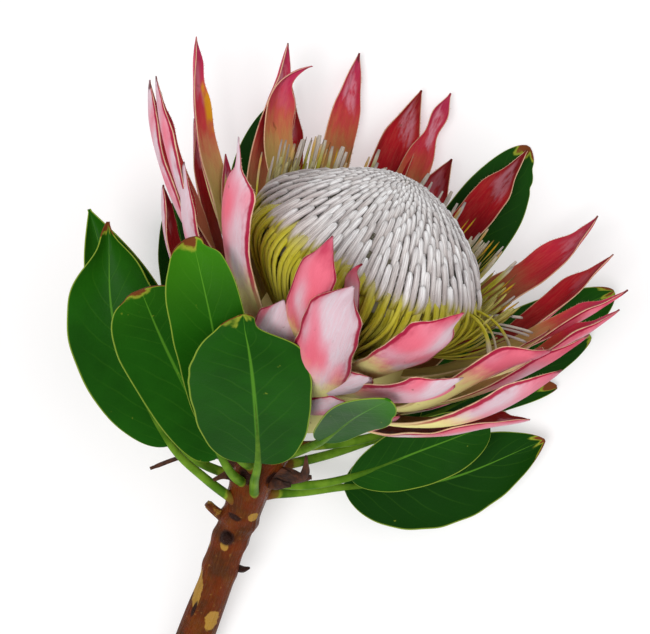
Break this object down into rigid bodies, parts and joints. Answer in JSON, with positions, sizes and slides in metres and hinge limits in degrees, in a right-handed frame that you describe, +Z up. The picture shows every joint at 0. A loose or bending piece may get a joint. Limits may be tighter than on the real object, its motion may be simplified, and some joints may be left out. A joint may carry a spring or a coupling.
{
  "type": "king protea flower",
  "caption": "Cut king protea lying on its side: a woolly white flower dome in a ring of pointed pink bracts on a woody stem with oval leaves.",
  "frame": {"origin": "middle of the whole outline on the table, at the table's height", "axes": "+Y from the cut end of the stem towards the bloom, +X to the right seen from above, +Z up"},
  "size_m": [0.1899, 0.2478, 0.1472],
  "materials": {
    "bark": "rough red-brown bark with scars",
    "bract": "silvery pink down over pink and red, cream at the foot",
    "white_floret": "matt silver-white wool",
    "green_floret": "satin yellow-green with cream tips",
    "leaf": "glossy dark green with a pale midrib"
  },
  "bodies": {
    "root": {"stem": "bark", "bracts": "bract", "dome_florets": "white_floret", "green_florets": "green_floret", "leaf_01": "leaf", "leaf_02": "leaf", "leaf_03": "leaf", "leaf_04": "leaf", "leaf_05": "leaf", "leaf_06": "leaf", "leaf_07": "leaf", "leaf_08": "leaf", "leaf_09": "leaf", "leaf_10": "leaf", "leaf_11": "leaf", "leaf_12": "leaf", "leaf_13": "leaf", "leaf_14": "leaf"}
  },
  "joints": []
}
